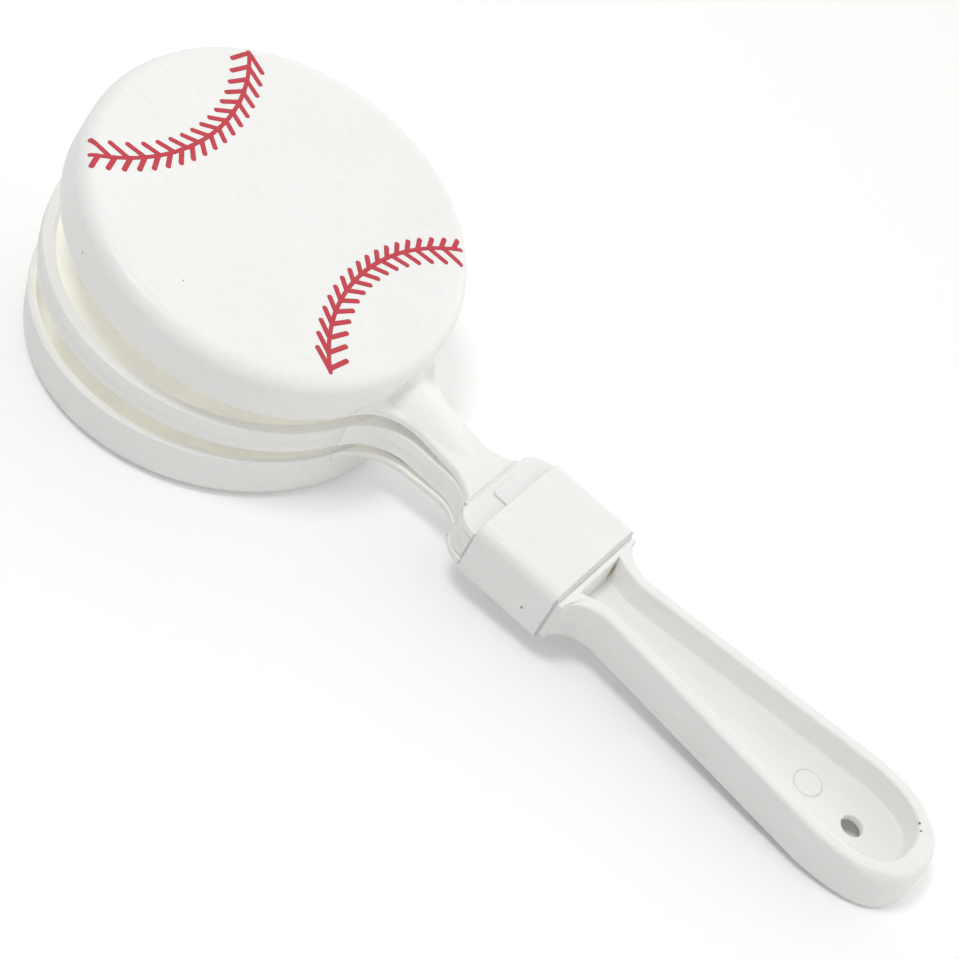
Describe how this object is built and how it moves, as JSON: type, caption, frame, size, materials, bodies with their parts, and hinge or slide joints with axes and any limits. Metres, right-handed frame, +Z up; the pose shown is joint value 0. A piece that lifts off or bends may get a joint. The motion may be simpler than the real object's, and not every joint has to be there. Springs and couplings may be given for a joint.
{
  "type": "hand clapper",
  "caption": "Hand clapper: round paddle blade between two hinged hollow round clappers, flat handle with hanging hole, and stitched ball seams printed on the front face.",
  "frame": {"origin": "middle of the underside of the box that the toy fills, on the table it lies on", "axes": "+X across the toy along both hinge lines, +Y from the handle towards the blade and clappers, +Z up, out of the printed face"},
  "size_m": [0.084, 0.2226, 0.0526],
  "materials": {
    "white_plastic": "smooth moulded polypropylene, soft gloss, faint flow marks",
    "red_ink": "pad-printed ink, satin"
  },
  "bodies": {
    "paddle": {"centre_paddle": "white_plastic", "collar": "white_plastic", "front_hinge_film": "white_plastic", "front_tang": "white_plastic", "rear_hinge_film": "white_plastic", "rear_tang": "white_plastic"},
    "front_flap": {"front_clapper": "white_plastic", "upper_seam_print": "red_ink", "lower_seam_print": "red_ink"},
    "rear_flap": {"rear_clapper": "white_plastic"}
  },
  "joints": [
    {"name": "front_clapper_hinge", "type": "hinge", "parent": "paddle", "child": "front_flap", "pos_m": [0, 0.00103, 0.01917], "axis": [1, 0, 0], "range_deg": [-7.8, 30.2], "stiffness_Nm_per_rad": 0.12, "springref_deg": 4.93},
    {"name": "rear_clapper_hinge", "type": "hinge", "parent": "paddle", "child": "rear_flap", "pos_m": [0, 0.00178, 0.0104], "axis": [-1, 0, 0], "range_deg": [-4.86, 33.1], "stiffness_Nm_per_rad": 0.12, "springref_deg": 8.37}
  ]
}
